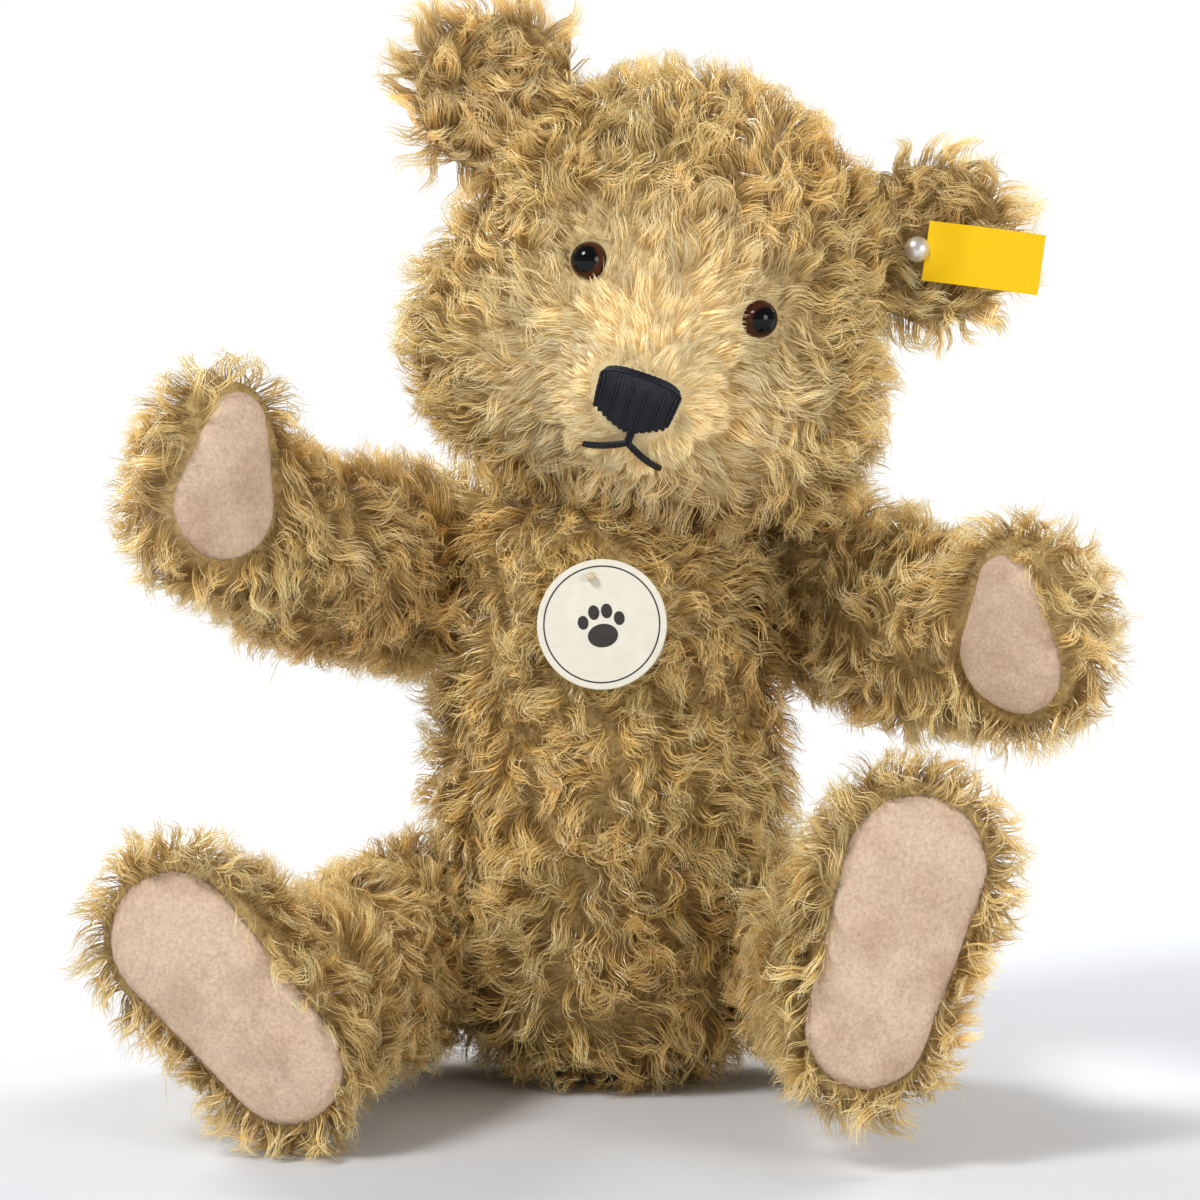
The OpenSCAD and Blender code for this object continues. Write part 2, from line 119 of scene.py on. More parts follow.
MUZZLE_BALL = np.array([0, MUZZLE_R - MUZZLE_L, MUZZLE_Z])
PAW_OUTLINE = [((0, -6), 13.0), ((0, 12), 7.5)]
SOLE_OUTLINE = [((0, -11), 13.5), ((0, 25), 15.5)]


# ---- smooth solids as distance fields ----------------------------------------
def unit(v):
    return v / np.maximum(np.linalg.norm(v, axis=-1, keepdims=True), 1e-9)


def round_cone(a, b):
    """Distance to the skin stretched over two balls (x, y, z, radius)."""
    a, b = np.array(a, float), np.array(b, float)
    ra, rb, axis = a[3], b[3], b[:3] - a[:3]
    l2, rr = axis @ axis, ra - rb
    a2 = l2 - rr * rr

    def distance(p):
        pa = p - a[:3]
        y = pa @ axis
        z = y - l2
        x = pa * l2 - np.outer(y, axis)
        x2 = (x * x).sum(1)
        y2, z2 = y * y * l2, z * z * l2
        k = np.sign(rr) * rr * rr * x2
        side = (np.sqrt(x2 * a2 / l2) + y * rr) / l2 - ra
        near_a = np.sqrt(x2 + y2) / l2 - ra
        near_b = np.sqrt(x2 + z2) / l2 - rb
        return np.where(np.sign(z) * a2 * z2 > k, near_b, np.where(np.sign(y) * a2 * y2 < k, near_a, side))

    return distance


def ball(b):
    c, r = np.array(b[:3], float), b[3]
    return lambda p: np.linalg.norm(p - c, axis=1) - r


def melt(distances, k):
    found = distances[0]
    for d in distances[1:]:
        h = np.clip(0.5 + 0.5 * (d - found) / k, 0, 1)
        found = d * (1 - h) + found * h - k * h * (1 - h)
    return found


def carve(d, away, k):
    """Keeps d outside of away."""
    return -melt([-d, away], k)


def world_balls(m, balls, inset=0.0):
    at = out(m, [b[:3] for b in balls])
    return [(*c, b[3] - inset) for c, b in zip(at, balls)]


def slope(field, p, e=0.05):
    g = [field(p + e * axis) - field(p - e * axis) for axis in np.eye(3)]
    return np.stack(g, 1) / (2 * e)


def settle(field, p, times=3, most=2.5):
    """Points moved on to a field's surface, those that would fly off left where they were."""
    start = p
    for _ in range(times):
        g = slope(field, p)
        p = p - field(p)[:, None] * g / np.maximum((g * g).sum(1), 0.2)[:, None]
    lost = np.linalg.norm(p - start, axis=1) > most
    return np.where(lost[:, None], start, p)


def chain(balls, pairs, k, cuts=()):
    """(field, lowest corner, highest corner) of balls joined in pairs, with half-spaces and rooms cut away."""
    parts = [round_cone(balls[i], balls[j]) for i, j in pairs]

    def field(p):
        d = melt([part(p) for part in parts], k)
        for cut, soft in cuts:
            d = carve(d, cut(p), soft)
        return d

    b = np.array(balls, float)
    return field, (b[:, :3] - b[:, 3:]).min(0) - 2, (b[:, :3] + b[:, 3:]).max(0) + 2


def beyond(m, axis, x, sign=1):
    """Distance into the half-space past x on a frame's axis; negative inside it."""
    return lambda p: sign * (x - into(m, p)[:, axis])


def thigh_room(m):
    """The hollow that a thigh turns in: round behind its bolt, open ahead of it."""

    def room(p):
        q = into(m, p)
        behind = np.linalg.norm(q[:, 1:], axis=1) - 25
        ahead = np.maximum(q[:, 2] - 25.8 + 0.25 * q[:, 1], -400)
        hollow = np.where(q[:, 1] < 0, np.minimum(behind, ahead), behind)
        return np.maximum(hollow, 0.4 - q[:, 0] - 0.8)

    return room


torso_cuts = [(beyond(ARMS[s], 0, -0.4), 4) for s in ARMS] + [(thigh_room(LEGS[s]), 4) for s in LEGS]
torso_cuts += [(beyond(NECK, 0, -0.4), 3), (lambda p: p[:, 2] - 2.5, 3)]
FIELDS = {"torso": chain([(*b[:3], b[3] - PILE) for b in TORSO_BALLS], [(0, 1), (1, 2)], 2, torso_cuts)}
head_balls = world_balls(
    HEAD,
    [(0, 0, 0, 46), (0, 4, 3, 46), (0, -20, -14, 25), (0, -49, -18, 14.8), (22, -8, -17, 31.5), (-22, -8, -17, 31.5)],
)
sockets = [(ball((*out(m, [[0, -8.6, 0]])[0], 8.8)), 1.5) for m in EYES.values()]
FIELDS["head"] = chain(head_balls, [(0, 1), (2, 3), (4, 5)], 7, [(beyond(NECK, 0, 0.4, -1), 3), *sockets])
for s in SIDES:
    arm = world_balls(PAWS[s], [(-8, 0, 0, 21), (-2, -41.4, -2, 18.3), (0, -80, 5, 16.5), (0, -85, 18, 13.2)])
    arm += world_balls(PAW_FACES[s], [(0, -6, -6, 14.6), (0, 12, -6, 9.7)])
    cuts = [(beyond(ARMS[s], 0, 0.4, -1), 4), (beyond(PAW_FACES[s], 2, -2.2), 1.5)]
    FIELDS[s + "_arm"] = chain(arm, [(0, 1), (1, 2), (2, 3), (4, 5)], 5, cuts)
    leg = world_balls(FEET[s], [(0, 0, 0, 21), (0, -85, -2, 17), (0, -110, -11, 15.2), (0, -110, 25, 17.2)])
    cuts = [(beyond(LEGS[s], 0, 0.4, -1), 4), (beyond(SOLES[s], 2, -3.0), 1.5)]
    FIELDS[s + "_leg"] = chain(leg, [(0, 1), (1, 2), (1, 3), (2, 3)], 5, cuts)


def ear_field(side, thick=1.5, radius=EAR_R - 4):
    m, centre = EARS[side], np.array([0, -23, 0])

    def field(p):
        q = into(m, p)
        shell = np.abs(np.linalg.norm(q - centre, axis=1) - 28.2) - thick
        rim = np.linalg.norm(q[:, [0, 2]], axis=1) - radius
        d = -melt([-shell, -rim, q[:, 1] + 12], 2)
        return carve(d, ball((*HEAD[:3, 3], 45))(p), 1)

    c = out(m, [[0, 3, 0]])[0]
    return field, c - 26, c + 26


for s in SIDES:
    FIELDS[s + "_ear"] = ear_field(s)


def surface(field, low, high, step):
    """A closed mesh of a field: one corner in each cell that it passes through."""
    axes = [np.arange(low[i], high[i] + step, step) for i in range(3)]
    grid = np.stack(np.meshgrid(*axes, indexing="ij"), -1)
    inside = field(grid.reshape(-1, 3)).reshape(grid.shape[:3]) < 0
    n = np.array(inside.shape)
    count = sum(
        inside[i : n[0] - 1 + i, j : n[1] - 1 + j, k : n[2] - 1 + k].astype(int)
        for i, j, k in itertools.product((0, 1), repeat=3)
    )
    mixed = (count > 0) & (count < 8)
    index = np.full(mixed.shape, -1)
    index[mixed] = np.arange(mixed.sum())
    corners = settle(field, grid[:-1, :-1, :-1][mixed] + step / 2)
    quads = []
    for a in range(3):
        b, c = np.eye(3, dtype=int)[(a + 1) % 3], np.eye(3, dtype=int)[(a + 2) % 3]
        low_side = inside.take(range(n[a] - 1), a)
        cross = low_side != inside.take(range(1, n[a]), a)
        g = np.argwhere(cross)
        g = g[(g @ b > 0) & (g @ c > 0) & (g @ b < n @ b - 1) & (g @ c < n @ c - 1)]
        q = np.stack([index[tuple((g - o).T)] for o in (0 * b, b, b + c, c)], 1)
        flip = ~low_side[tuple(g.T)]
        q[flip] = q[flip][:, ::-1]
        quads.append(q)
    return corners, np.concatenate(quads)


# ---- meshes ------------------------------------------------------------------
def mesh_object(name, points_mm, faces, smooth=True, at=None):
    """points_mm are in the bear's frame, or in the frame at if that is given."""
    mesh = bpy.data.meshes.new(name)
    mesh.from_pydata((np.asarray(points_mm) * MM).tolist(), [], [list(map(int, f)) for f in faces])
    mesh.polygons.foreach_set("use_smooth", [smooth] * len(mesh.polygons))
    mesh.update()
    o = bpy.data.objects.new(name, mesh)
    scene.collection.objects.link(o)
    if at is not None:
        m = at.copy()
        m[:3, 3] *= MM
        o.matrix_world = Matrix(m.tolist())
    return o


def dress(o, body, material, stands_for=()):
    o.data.materials.append(material)
    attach(o, body)
    if stands_for:
        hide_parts(*stands_for)
    return o


def tube(path, radius, sides=10, ply=0.0, pitch=1.3):
    """Points and faces of a closed round thread along path, with two plies twisted round each other."""
    path = np.asarray(path, float)
    d = unit(np.gradient(path, axis=0))
    up = unit(np.cross(d, unit(np.array([0.31, 0.52, 0.8]))))
    other = np.cross(d, up)
    s = np.concatenate([[0], np.cumsum(np.linalg.norm(np.diff(path, axis=0), axis=1))])
    a = np.linspace(0, FULL_TURN, sides, endpoint=False)
    r = radius * (1 + ply * np.cos(2 * a[None] - FULL_TURN * s[:, None] / pitch))
    end = np.minimum(s, s[-1] - s) / radius
    r = r * np.sqrt(np.clip(1 - (1 - np.clip(end, 0.15, 1)) ** 2, 0, 1))[:, None]
    cos_a, sin_a = np.cos(a)[None, :, None], np.sin(a)[None, :, None]
    ring = path[:, None] + r[..., None] * (cos_a * up[:, None] + sin_a * other[:, None])
    n = len(path)
    faces = [
        (i * sides + j, i * sides + (j + 1) % sides, (i + 1) * sides + (j + 1) % sides, (i + 1) * sides + j)
        for i in range(n - 1)
        for j in range(sides)
    ]
    faces += [tuple(range(sides))[::-1], tuple(range((n - 1) * sides, n * sides))]
    return ring.reshape(-1, 3), faces


def joined(parts):
    points, faces, base = [], [], 0
    for p, f in parts:
        points.append(np.asarray(p))
        faces += [tuple(int(i) + base for i in face) for face in f]
        base += len(p)
    return np.concatenate(points), faces


def noise(p, wavelength, seed, terms=14):
    """Smooth noise of about unit strength."""
    r = np.random.default_rng(seed)
    k = unit(r.normal(size=(terms, 3))) * FULL_TURN / wavelength * r.uniform(0.65, 1.35, (terms, 1))
    return np.cos(p @ k.T + r.uniform(0, FULL_TURN, terms)).sum(1) * math.sqrt(2 / terms)


def ease(x, a, b):
    t = np.clip((x - a) / (b - a), 0, 1)
    return t * t * (3 - 2 * t)


# ---- materials -----------------------------------------------------------------
class Shader:
    """A material with one Principled shader and short ways to add nodes to it."""

    def __init__(self, name, color, rough, **more):
        self.material = bpy.data.materials.new(name)
        self.material.use_nodes = True
        self.tree = self.material.node_tree
        self.bsdf = self.tree.nodes["Principled BSDF"]
        self.bsdf.inputs["Base Color"].default_value = (*color, 1)
        self.bsdf.inputs["Roughness"].default_value = rough
        for socket, value in more.items():
            self.bsdf.inputs[socket.replace("_", " ")].default_value = value

    def add(self, kind, **sockets):
        node = self.tree.nodes.new("ShaderNode" + kind)
        for socket, value in sockets.items():
            where = node.inputs[int(socket[1:]) if socket[1:].isdigit() else socket.replace("_", " ")]
            if isinstance(value, bpy.types.NodeSocket):
                self.tree.links.new(value, where)
            else:
                where.default_value = value
        return node

    def math(self, operation, a, b=0.0, c=0.0):
        node = self.add("Math", _0=a, _1=b, _2=c)
        node.operation = operation
        return node.outputs[0]

    def coords(self):
        return self.add("TexCoord").outputs["Object"]

    def noise(self, scale, detail=3.0, rough=0.55):
        return self.add("TexNoise", Vector=self.coords(), Scale=scale, Detail=detail, Roughness=rough).outputs[0]

    def ramp(self, fac, stops):
        node = self.add("ValToRGB", Fac=fac)
        elements = node.color_ramp.elements
        while len(elements) < len(stops):
            elements.new(0.5)
        for e, (at, color) in zip(elements, stops):
            e.position = at
            e.color = (*color, 1)
        return node.outputs[0]

    def mix(self, fac, a, b, blend="MIX"):
        node = self.add("Mix")
        node.data_type = "RGBA"
        node.blend_type = blend
        for where, value in ((node.inputs[0], fac), (node.inputs[6], a), (node.inputs[7], b)):
            if isinstance(value, bpy.types.NodeSocket):
                self.tree.links.new(value, where)
            else:
                where.default_value = value if where == node.inputs[0] else (*value, 1)
        return node.outputs[2]

    def color(self, socket):
        self.tree.links.new(socket, self.bsdf.inputs["Base Color"])
        return self

    def bump(self, height, distance, strength=1.0):
        node = self.add("Bump", Strength=strength, Distance=distance, Height=height)
        self.tree.links.new(node.outputs[0], self.bsdf.inputs["Normal"])
        return self

    def see_through(self, color, share):
        """Light comes through a thin piece."""
        glow = self.add("BsdfTranslucent", Color=color)
        mixed = self.add("MixShader", Fac=share, _1=self.bsdf.outputs[0], _2=glow.outputs[0])
        self.tree.links.new(mixed.outputs[0], self.tree.nodes["Material Output"].inputs["Surface"])
        return self


def mohair_material():
    m = Shader("mohair", (0.6, 0.42, 0.17), 0.3, Specular_IOR_Level=0.85, Sheen_Weight=0.1, Sheen_Roughness=0.4)
    tone = m.add("Attribute")
    tone.attribute_name = "tone"
    parts = m.add("SeparateColor", Color=tone.outputs["Color"]).outputs
    along, lock, strand = parts[0], parts[1], parts[2]
    # Along each strand the colour runs from dark roots to pale tips. This is partly the mohair's own tone, partly
    # painted shade deep between the locks at the roots and painted highlight on the tips. The muzzle's paler ramp
    # (soft) does the same.
    root_and_shade, low, middle, tip_and_highlight = (0.19, 0.115, 0.034), (0.48, 0.335, 0.115), (0.84, 0.65, 0.29), (1.0, 0.92, 0.60)
    hair = m.ramp(along, [(0.0, root_and_shade), (0.25, low), (0.6, middle), (1.0, tip_and_highlight)])
    patch = m.ramp(m.noise(26, 2), [(0.36, (0.97, 0.95, 0.82)), (0.62, (0.99, 0.89, 0.68))])
    hair = m.mix(1.0, hair, patch, "MULTIPLY")
    soft = m.ramp(along, [(0.0, (0.72, 0.53, 0.23)), (0.5, (1.0, 0.84, 0.47)), (1.0, (1.0, 0.96, 0.70))])
    hair = m.mix(tone.outputs["Alpha"], hair, soft)
    shade = m.math("ADD", m.math("MULTIPLY", lock, 0.5), m.math("MULTIPLY_ADD", strand, 0.32, 0.64))
    hair = m.mix(1.0, hair, m.add("CombineColor", _0=shade, _1=shade, _2=shade).outputs[0], "MULTIPLY")
    return m.color(hair).see_through(hair, 0.28).material


def backing_material(name, pale_at=None):
    """The woven cloth that the mohair stands on, paler round the nose."""
    # The cloth's dark brown-gold is partly its own colour and partly painted shade: where it shows between the locks,
    # it stands in for the depth of the fur.
    m = Shader(name, (0.4, 0.27, 0.11), 0.9)
    cloth = m.ramp(m.noise(900, 4), [(0.3, (0.33, 0.22, 0.08)), (0.7, (0.55, 0.39, 0.16))])
    if pale_at is not None:
        away = m.add("VectorMath", _0=m.coords(), _1=tuple(pale_at * MM))
        away.operation = "DISTANCE"
        near = m.ramp(m.math("MULTIPLY", away.outputs["Value"], 12.0), [(0.35, (1, 1, 1)), (0.7, (0, 0, 0))])
        cloth = m.mix(near, cloth, (0.74, 0.58, 0.31))
    return m.color(cloth).bump(m.noise(1500, 2), 0.0004).material


def felt_material():
    m = Shader("felt", (0.74, 0.55, 0.39), 0.95, Sheen_Weight=0.35, Sheen_Roughness=0.5)
    m.bsdf.inputs["Sheen Tint"].default_value = (1, 0.9, 0.8, 1)
    shades = [(0.32, (0.58, 0.42, 0.31)), (0.5, (0.74, 0.55, 0.40)), (0.68, (0.84, 0.66, 0.50))]
    fine = m.ramp(m.noise(1100, 5, 0.7), shades)
    worn = m.ramp(m.noise(75, 4, 0.6), [(0.34, (0.82, 0.77, 0.74)), (0.56, (1, 1, 1))])
    m.color(m.mix(1.0, fine, worn, "MULTIPLY"))
    return m.bump(m.noise(1600, 4, 0.7), 0.0005, 0.8).material


def thread_material(name, color, lift, scale=2600):
    m = Shader(name, color, 0.36, Specular_IOR_Level=0.3)
    m.color(m.ramp(m.noise(scale, 3), [(0.35, color), (0.7, lift)]))
    return m.bump(m.noise(scale * 1.6, 2), 0.0001, 0.6).material


def eye_material():
    """Black pupil in a dark red-brown glass ring, under clear glass."""
    coat = {"Coat_Weight": 0.15, "Coat_Roughness": 0.015, "Specular_IOR_Level": 0.16}
    m = Shader("eye_glass", (0.002, 0.002, 0.002), 0.04, **coat)
    x = m.add("SeparateXYZ", Vector=m.coords()).outputs
    r = m.math("SQRT", m.math("ADD", m.math("MULTIPLY", x[0], x[0]), m.math("MULTIPLY", x[2], x[2])))
    pupil, inner, outer, edge = (0.002, 0.002, 0.003), (0.05, 0.014, 0.006), (0.075, 0.024, 0.011), (0.02, 0.008, 0.004)
    rings = [(0.68, pupil), (0.76, inner), (0.9, outer), (1.0, edge)]
    m.color(m.ramp(m.math("MULTIPLY", r, 1000 / EYE_R), rings))
    return m.material


def label_material():
    m = Shader("label", (0.90, 0.58, 0.004), 0.6, Specular_IOR_Level=0.2)
    x = m.add("SeparateXYZ", Vector=m.coords()).outputs
    warp, weft = (m.math("SINE", m.math("MULTIPLY", x[i], 13000.0)) for i in (0, 1))
    weave = m.math("MULTIPLY", warp, weft)
    m.color(m.ramp(m.math("MULTIPLY_ADD", weave, 0.5, 0.5), [(0.0, (0.84, 0.50, 0.002)), (1.0, (0.98, 0.66, 0.006))]))
    return m.bump(weave, 0.00008, 0.6).material


def speckled(name, dark, light, rough, scale, metallic=0.0, depth=0.0001):
    m = Shader(name, light, rough, Metallic=metallic)
    m.color(m.ramp(m.noise(scale, 4), [(0.3, dark), (0.7, light)]))
    return m.bump(m.noise(scale * 2, 3), depth, 0.4).material


nose_tip = out(HEAD, [[0, -MUZZLE_L, MUZZLE_Z + 2]])[0]
FUR, BACKING, FELT = mohair_material(), backing_material("mohair_backing"), felt_material()
FACE_BACKING = backing_material("face_backing", nose_tip)
BLACK = thread_material("thread_black", (0.002, 0.0025, 0.005), (0.010, 0.012, 0.022))
PALE = thread_material("thread_pale", (0.55, 0.47, 0.32), (0.72, 0.64, 0.46))
GLASS, LABEL_CLOTH = eye_material(), label_material()
CARD = speckled("tag_card", (0.74, 0.71, 0.60), (0.80, 0.775, 0.67), 0.5, 300, depth=0.00003)
PRINT = speckled("tag_print", (0.020, 0.018, 0.016), (0.035, 0.03, 0.026), 0.5, 500)
METAL = speckled("rivet", (0.62, 0.61, 0.59), (0.78, 0.77, 0.75), 0.32, 400, 0.7, 0.00003)
PLAIN = {
    "hardboard": speckled("hardboard", (0.16, 0.10, 0.05), (0.30, 0.19, 0.10), 0.8, 300),
    "steel": speckled("steel", (0.45, 0.45, 0.46), (0.62, 0.62, 0.63), 0.35, 500, 1.0),
    "weight": speckled("weight", (0.12, 0.13, 0.14), (0.25, 0.26, 0.27), 0.5, 400, 0.8),
    "card": speckled("card", (0.62, 0.55, 0.38), (0.72, 0.66, 0.48), 0.85, 300),
    "reed": speckled("reed", (0.55, 0.38, 0.10), (0.75, 0.55, 0.20), 0.4, 500, 0.9),
    "bellows": speckled("bellows", (0.22, 0.10, 0.05), (0.36, 0.18, 0.09), 0.7, 350),
    "eye_pupil": speckled("eye_pupil", (0.002, 0.002, 0.002), (0.004, 0.004, 0.004), 0.2, 300),
    "felt": FELT,
    "rivet": METAL,
    "thread_pale": PALE,
    "eye_glass": GLASS,
}
NODE_SLOT = {
    "disc": "hardboard", "discs": "hardboard", "insole": "hardboard", "washers": "steel", "bolt": "steel",
    "nut": "steel", "wire": "steel", "weight": "weight", "case": "card", "lid": "card", "reed": "reed",
    "bellows": "bellows", "pupil": "eye_pupil", "rivet": "rivet", "back": "rivet", "thread": "thread_pale",
}  # fmt: skip
for node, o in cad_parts.items():
    o.data.materials.clear()
    o.data.materials.append(PLAIN.get(NODE_SLOT.get(node.split("_")[-1]), BACKING))


# ---- stuffed skins -----------------------------------------------------------
for name, (field, low, high) in FIELDS.items():
    ear = name.endswith("ear")
    points, quads = surface(field, low, high, 1.4 if ear else 2.2)
    skin = mesh_object(name + "_skin", points, quads)
    body = "head" if ear else name
    nodes = [name] if ear else [name + "_cover", name + "_stuffing"]
    dress(skin, body, FACE_BACKING if name == "head" else BACKING, nodes)


# ---- mohair --------------------------------------------------------------------
def beside(m, outline, p, margin):
    """Signed distance of points from a pad's outline, in its plane, and their height over the pad."""
    q = into(m, p)
    (a, ra), (b, rb) = outline
    flat = q.copy()
    flat[:, 2] = 0
    return round_cone((*a, 0, ra), (*b, 0, rb))(flat) - margin, q[:, 2]


def hair_mesh(name, body, points, out_way, tone, r, thin):
    """Ribbons along points (strand, step, xyz), each turned a little its own way."""
    count, steps = points.shape[:2]
    t = np.linspace(0, 1, steps)
    d = unit(np.gradient(points, axis=1))
    face = unit(out_way + r.normal(0, 0.42, out_way.shape))[:, None]
    across = unit(np.cross(d, face))
    width = thin * HAIR_WIDTH * (1 - 0.8 * t**2.2) * (0.75 + 0.25 * np.minimum(1, t * 6))
    half = across * (width[None, :, None] * r.uniform(0.7, 1.25, (count, 1, 1)) / 2)
    corners = np.stack([points - half, points + half], 2).reshape(-1, 3) * MM
    mesh = bpy.data.meshes.new(name)
    mesh.vertices.add(len(corners))
    mesh.vertices.foreach_set("co", corners.astype(np.float32).ravel())
    base = np.arange(count)[:, None] * steps * 2 + np.arange(steps - 1)[None] * 2
    quads = np.stack([base, base + 1, base + 3, base + 2], -1).reshape(-1, 4)
    mesh.loops.add(quads.size)
    mesh.loops.foreach_set("vertex_index", quads.ravel().astype(np.int32))
    mesh.polygons.add(len(quads))
    mesh.polygons.foreach_set("loop_start", np.arange(0, quads.size, 4, dtype=np.int32))
    mesh.polygons.foreach_set("use_smooth", np.ones(len(quads), bool))
    mesh.update(calc_edges=True)
    # One cell of the bake image to each strand.
    columns = 196
    cell = np.arange(count)
    x, y = cell % columns, cell // columns
    rows = max(count // columns + 1, 1)
    u = (x[:, None, None] + np.array([0.3, 0.7])[None, None]) / columns
    v = (y[:, None] + 0.1 + 0.8 * t[None]) / rows
    whole = (count, steps, 2)
    uv = np.stack([np.broadcast_to(u, whole), np.broadcast_to(v[..., None], whole)], -1).reshape(-1, 2)
    layer = mesh.uv_layers.new(name="OFBake")
    layer.data.foreach_set("uv", uv[quads.ravel()].astype(np.float32).ravel())
    colors = np.empty((count, steps, 2, 4), np.float32)
    colors[..., 0] = t[None, :, None]
    for channel in (1, 2, 3):
        colors[..., channel] = tone[:, channel - 1, None, None]
    attribute = mesh.color_attributes.new("tone", "FLOAT_COLOR", "POINT")
    attribute.data.foreach_set("color", colors.ravel())
    o = bpy.data.objects.new(name, mesh)
    scene.collection.objects.link(o)
    return dress(o, body, FUR)


def curls(p, n, way, length, wild, seed, r):
    """Centre lines of the locks: each leans over along way, and swings from side to side as wavy mohair does."""
    steps = SEGMENTS * 2 + 1
    t = np.linspace(0, 1, steps)[None]
    wild1, wild = wild, wild[:, None]
    turn = wild1 * (0.8 * noise(p, 36, seed) + 0.8 * noise(p, 17, seed + 1) + r.normal(0, 0.22, len(p)))
    b = np.cross(n, way)
    way = np.cos(turn)[:, None] * way + np.sin(turn)[:, None] * b
    b = np.cross(n, way)
    phase = (3.2 * noise(p, 19, seed + 2) + r.normal(0, 0.55, len(p)))[:, None]
    waves = length[:, None] / r.uniform(11, 17, (len(p), 1))
    swing = wild * r.uniform(0.8, 1.35, (len(p), 1)) * np.minimum(1, 0.3 + t * 1.2)
    yaw = swing * np.sin(FULL_TURN * waves * t + phase) + 0.6 * wild * r.normal(0, 0.8, (len(p), 1)) * t
    lean0 = np.radians(22)
    lean1 = np.radians(80) + 0.24 * noise(p, 11, seed + 3)[:, None] * wild
    lean = lean0 + (lean1 - lean0) * t**0.7 + 0.3 * wild * np.sin(FULL_TURN * waves * t + phase + 1.9)
    d = (
        np.cos(lean)[..., None] * n[:, None]
        + (np.sin(lean) * np.cos(yaw))[..., None] * way[:, None]
        + (np.sin(lean) * np.sin(yaw))[..., None] * b[:, None]
    )
    middle = (d[:, 1:] + d[:, :-1]) / 2
    line = np.cumsum(middle, 1) * (length[:, None, None] / (steps - 1))
    return np.concatenate([np.zeros((len(p), 1, 3)), line], 1)


def even(value):
    """The same value for every point."""
    return lambda p: np.full(len(p), value)


def grow(name, body, comb, length, keep, seed, wild=1.0, pale=None, after=None, density=1.0, thin=1.0, part=""):
    """Mohair on the named field. Locks are drawn first, and each strand then follows the nearest lock."""
    field, low, high = FIELDS[name]
    r = np.random.default_rng(seed)
    volume = np.prod(high - low)

    def roots(per_mm2):
        p = r.uniform(low, high, (int(volume * per_mm2 / 2), 3))
        p = p[np.abs(field(p)) < 1]
        p = settle(field, p)
        n = unit(slope(field, p))
        good = keep(p, n) & (np.abs(field(p)) < 0.3)
        return p[good], n[good]

    gp, gn = roots(0.085)
    way = comb(gp, gn)
    way = unit(way - (way * gn).sum(1)[:, None] * gn)
    local_wild = wild(gp) if callable(wild) else np.full(len(gp), wild)
    lines = curls(gp, gn, way, length(gp) * r.uniform(0.85, 1.15, len(gp)), local_wild, seed, r)
    tree = KDTree(len(gp))
    for i, q in enumerate(gp):
        tree.insert(q, i)
    tree.balance()
    p, n = roots(DENSITY * density)
    g = np.array([tree.find(q)[1] for q in p])
    steps = SEGMENTS + 1
    share = np.clip(r.normal(0.9, 0.13, len(p)), 0.35, 1)
    at = np.linspace(0, 1, steps)[None] * share[:, None] * (lines.shape[1] - 1)
    lower = np.minimum(at.astype(int), lines.shape[1] - 2)
    blend = (at - lower)[..., None]
    line = lines[g[:, None], lower] * (1 - blend) + lines[g[:, None], lower + 1] * blend
    t = np.linspace(0, 1, steps)[None, :, None]
    offset = (p - gp[g])[:, None]
    clump = r.uniform(0.1, 0.6, (len(p), 1, 1)) * t
    stray = np.where(r.random(len(p)) < 0.06, 2.2, 0.75)[:, None, None] * r.normal(0, 1, (len(p), 1, 3)) * t**1.5
    ripple = t * r.uniform(0.8, 2.0, (len(p), 1, 1)) + r.random((len(p), 1, 3))
    frizz = 0.12 * np.sin(FULL_TURN * ripple) * np.minimum(1, 3 * t)
    scale = (length(p) / 16)[:, None, None]
    points = gp[g][:, None] + line + offset * (1 - clump) + (stray + frizz) * scale
    points = points + (p[:, None] - points[:, :1])
    lock = r.random(len(gp))[g]
    tone = np.stack([lock, r.random(len(p)), pale(p) if pale else np.zeros(len(p))], 1)
    ok = np.ones(len(p), bool)
    if after:
        points, ok = after(points)
    low_z = 0.5 + 0.8 * r.random((len(p), 1))
    z = points[..., 2]
    points[..., 2] = np.where(z < low_z, low_z + 0.05 * (z - low_z).clip(-8, 0), z)
    points, n, tone, p = points[ok], n[ok], tone[ok], p[ok]
    order = np.argsort(p[:, 2])
    pieces = max(1, math.ceil(len(p) / STRANDS_PER_PIECE))
    for i, chosen in enumerate(np.array_split(order, pieces)):
        hair_mesh(f"{name}{part}_mohair_{i + 1}", body, points[chosen], n[chosen], tone[chosen], r, thin)
    print("GROWN", name, len(gp), len(p), pieces)


def label_lift(x):
    """How far the label stands off the ear, along its length: the hair pushes it outwards."""
    return 6.4 * ease(x, 2.0, 13) + 2.0 * ease(x, 10, 30)


def label_shape(q):
    """Signed distance from the label's outline and a small margin, in its own frame."""
    return np.maximum(np.abs(q[:, 0] - 15.5) - 14.6, np.abs(q[:, 1]) - 7.8)


def press(points, m, shape, back, lift=lambda x: 0 * x):
    """Hair in front of a thin piece is pushed back behind it. shape is negative within the piece."""
    q = into(m, points.reshape(-1, 3))
    level = back + lift(q[:, 0])
    over = (shape(q) < 0) & (q[:, 2] > level)
    q[over, 2] = (level - 0.02 * (q[:, 2] - level))[over]
    return (q @ m[:3, :3].T + m[:3, 3]).reshape(points.shape)


CARD_FACE = CHEST @ place(turn=(90, 0, 0))


def torso_keep(p, n):
    good = np.ones(len(p), bool)
    for m in [*ARMS.values(), *LEGS.values()]:
        q = into(m, p)
        good &= ~((q[:, 0] > -1.2) & (np.linalg.norm(q[:, 1:], axis=1) < 24))
    good &= into(NECK, p)[:, 0] < -1.2
    return good & (p[:, 2] > 3.5)


